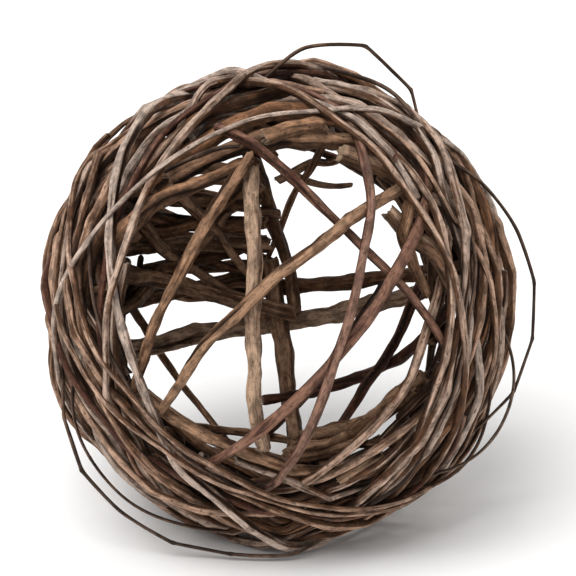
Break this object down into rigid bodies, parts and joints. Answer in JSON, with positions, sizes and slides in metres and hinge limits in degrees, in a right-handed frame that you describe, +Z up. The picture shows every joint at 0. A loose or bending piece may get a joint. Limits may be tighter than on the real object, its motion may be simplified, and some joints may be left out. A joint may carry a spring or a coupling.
{
  "type": "decorative sphere",
  "caption": "Open decorative ball of brown vines and twigs wound round a hollow middle, resting on a small flat spot.",
  "frame": {"origin": "on the floor, under the middle of the ball's whole width and depth", "axes": "+Z up, the pictured side faces -Y, and +X is to its right"},
  "size_m": [0.122, 0.114, 0.1188],
  "materials": {
    "grey_brown_vine": "dull grey-brown bark",
    "brown_stick": "dull dark brown bark",
    "red_brown_twig": "smooth red-brown bark",
    "tan_stick": "dry tan bark",
    "dark_wisp": "thin dark shoot"
  },
  "bodies": {
    "root": {"rim_vine_01": "grey_brown_vine", "rim_vine_02": "grey_brown_vine", "rim_vine_03": "grey_brown_vine", "rim_vine_04": "grey_brown_vine", "rim_vine_05": "grey_brown_vine", "rim_vine_06": "grey_brown_vine", "rim_vine_07": "grey_brown_vine", "rim_vine_08": "grey_brown_vine", "rim_vine_09": "grey_brown_vine", "rim_vine_10": "grey_brown_vine", "rim_vine_11": "grey_brown_vine", "rim_vine_12": "grey_brown_vine", "rim_vine_13": "grey_brown_vine", "rim_vine_14": "grey_brown_vine", "rim_vine_15": "grey_brown_vine", "rim_vine_16": "grey_brown_vine", "rim_vine_17": "grey_brown_vine", "rim_vine_18": "grey_brown_vine", "rim_vine_19": "grey_brown_vine", "rim_vine_20": "grey_brown_vine", "upright_stick": "tan_stick", "leaning_stick": "brown_stick", "thin_diagonal_twig": "red_brown_twig", "bowed_twig": "red_brown_twig", "steep_diagonal_twig": "red_brown_twig", "long_diagonal_twig": "brown_stick", "top_cross_stick": "tan_stick", "upper_left_stick": "tan_stick", "top_under_stick": "brown_stick", "right_short_stick": "tan_stick", "low_cross_twig": "brown_stick", "low_tan_stick": "tan_stick", "back_upper_bar": "brown_stick", "back_middle_bar": "tan_stick", "back_upright_stick": "brown_stick", "back_falling_stick": "brown_stick", "back_thin_twig": "brown_stick", "back_slant_01": "red_brown_twig", "back_slant_02": "red_brown_twig", "back_slant_03": "red_brown_twig", "back_low_stick_01": "brown_stick", "back_low_stick_02": "brown_stick", "back_short_twig": "brown_stick", "back_left_vine_01": "brown_stick", "back_left_vine_02": "brown_stick", "back_left_vine_03": "brown_stick", "back_left_vine_04": "brown_stick", "back_left_vine_05": "brown_stick", "back_left_vine_06": "brown_stick", "back_low_vine": "brown_stick", "left_side_twig_01": "grey_brown_vine", "left_side_twig_02": "grey_brown_vine", "right_side_twig_01": "grey_brown_vine", "right_side_twig_02": "grey_brown_vine", "top_side_twig": "grey_brown_vine", "bottom_side_twig_01": "grey_brown_vine", "bottom_side_twig_02": "grey_brown_vine", "top_wisp": "dark_wisp", "right_wisp": "dark_wisp", "lower_wisp": "dark_wisp"}
  },
  "joints": []
}
